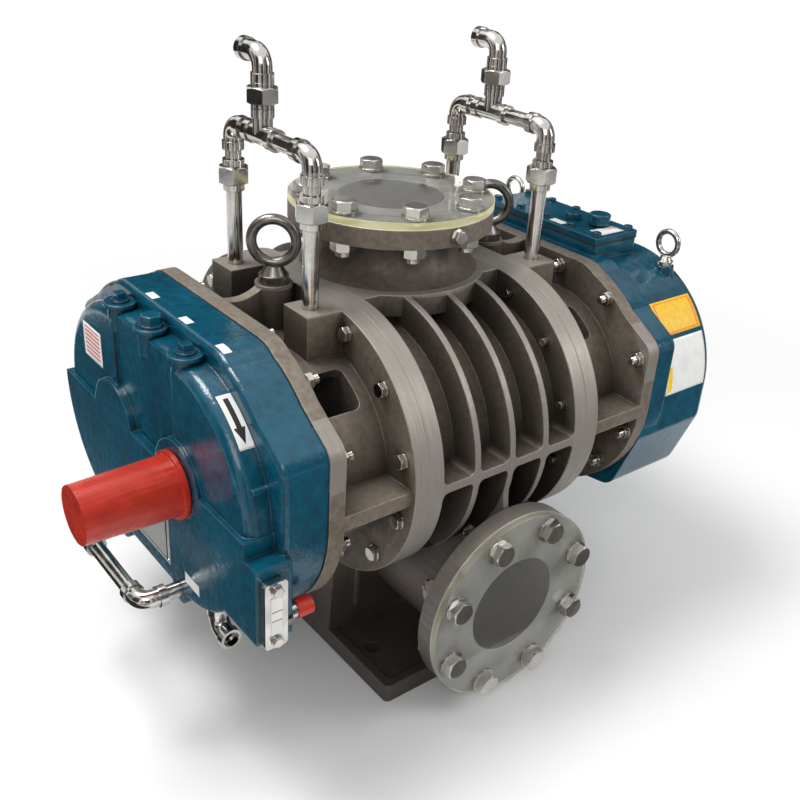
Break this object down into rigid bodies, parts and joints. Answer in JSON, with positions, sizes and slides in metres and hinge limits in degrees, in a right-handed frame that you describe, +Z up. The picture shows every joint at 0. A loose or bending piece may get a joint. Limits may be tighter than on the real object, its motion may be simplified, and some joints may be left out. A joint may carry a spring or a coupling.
{
  "type": "roots vacuum pump",
  "caption": "Roots vacuum pump: ribbed iron casing, lobed rotors on geared shafts, blue end covers, clear blanked ports and seal-air pipe bridges.",
  "frame": {"origin": "centre of the four foot bolt holes, on the underside of the feet", "axes": "+X along the rotor shafts towards the timing-gear end, the drive shaft at -X; -Y towards the outlet flange; +Z up towards the inlet flange"},
  "size_m": [0.953, 0.628, 0.8565],
  "materials": {
    "blue_paint": "glossy teal-blue enamel on cast iron",
    "bronze": "turned",
    "cast_iron": "bare sand-cast iron with machined edges",
    "clear_acrylic": "clear, faintly yellow at the edge",
    "gasket": "matt",
    "machined_iron": "machined",
    "machined_steel": "turned and ground",
    "pipe_steel": "polished stainless pipework",
    "red_plastic": "moulded",
    "zinc_steel": "zinc-plated"
  },
  "bodies": {
    "housing": {"bearing_outer_rings": "machined_steel", "bearing_retainers": "machined_steel", "block_plugs": "zinc_steel", "breather_cap": "blue_paint", "case_eyebolts": "zinc_steel", "casing": "cast_iron", "casing_screws": "zinc_steel", "cooling_elbows": "pipe_steel", "cooling_pipes": "pipe_steel", "cover_screws": "zinc_steel", "cover_side_plugs": "blue_paint", "cover_vent_plug": "blue_paint", "crossover_pipes": "pipe_steel", "drain_elbow": "pipe_steel", "drain_pipe": "pipe_steel", "drive_cover": "blue_paint", "drive_lip_seal": "gasket", "drive_side_plate": "cast_iron", "fill_plug": "blue_paint", "filler_fitting": "pipe_steel", "filler_plug": "red_plastic", "gear_case": "blue_paint", "gear_case_lid": "blue_paint", "gear_side_plate": "cast_iron", "inlet_bolts": "zinc_steel", "inlet_cover": "clear_acrylic", "inlet_nuts": "zinc_steel", "level_gauge_body": "pipe_steel", "level_gauge_bolts": "zinc_steel", "level_gauge_glass": "clear_acrylic", "lid_gasket": "gasket", "lid_screws": "blue_paint", "lifting_eyes": "zinc_steel", "outlet_bolts": "zinc_steel", "outlet_cover": "clear_acrylic", "outlet_nuts": "zinc_steel", "pipe_elbows": "pipe_steel", "pipe_tees": "pipe_steel", "port_elbows": "pipe_steel", "rim_plug": "zinc_steel", "riser_pipes": "pipe_steel", "riser_unions": "pipe_steel", "seal_bushes": "bronze", "stub_pipes": "pipe_steel", "stub_unions": "pipe_steel"},
    "drive_rotor_set": {"drive_bearing_rollers": "machined_steel", "drive_oil_slinger": "machined_steel", "drive_rotor": "machined_iron", "drive_shaft": "machined_steel", "drive_shaft_nuts": "machined_steel", "drive_timing_gear": "machined_steel", "shaft_key": "machined_steel"},
    "idle_rotor_set": {"idle_bearing_rollers": "machined_steel", "idle_oil_slinger": "machined_steel", "idle_rotor": "machined_iron", "idle_shaft": "machined_steel", "idle_shaft_nuts": "machined_steel", "idle_timing_gear": "machined_steel"},
    "shaft_cap": {"shaft_cap": "red_plastic"}
  },
  "joints": [
    {"name": "drive_spin", "type": "hinge", "parent": "housing", "child": "drive_rotor_set", "pos_m": [0, -0.095, 0.364], "axis": [1, 0, 0], "continuous": true},
    {"name": "idle_spin", "type": "hinge", "parent": "housing", "child": "idle_rotor_set", "pos_m": [0, 0.095, 0.364], "axis": [1, 0, 0], "continuous": true},
    {"name": "cap_pull", "type": "slide", "parent": "drive_rotor_set", "child": "shaft_cap", "axis": [-1, 0, 0], "range_m": [0, 0.13]}
  ],
  "couplings": [
    {"joint": "idle_spin", "follows": "drive_spin", "ratio": -1}
  ]
}
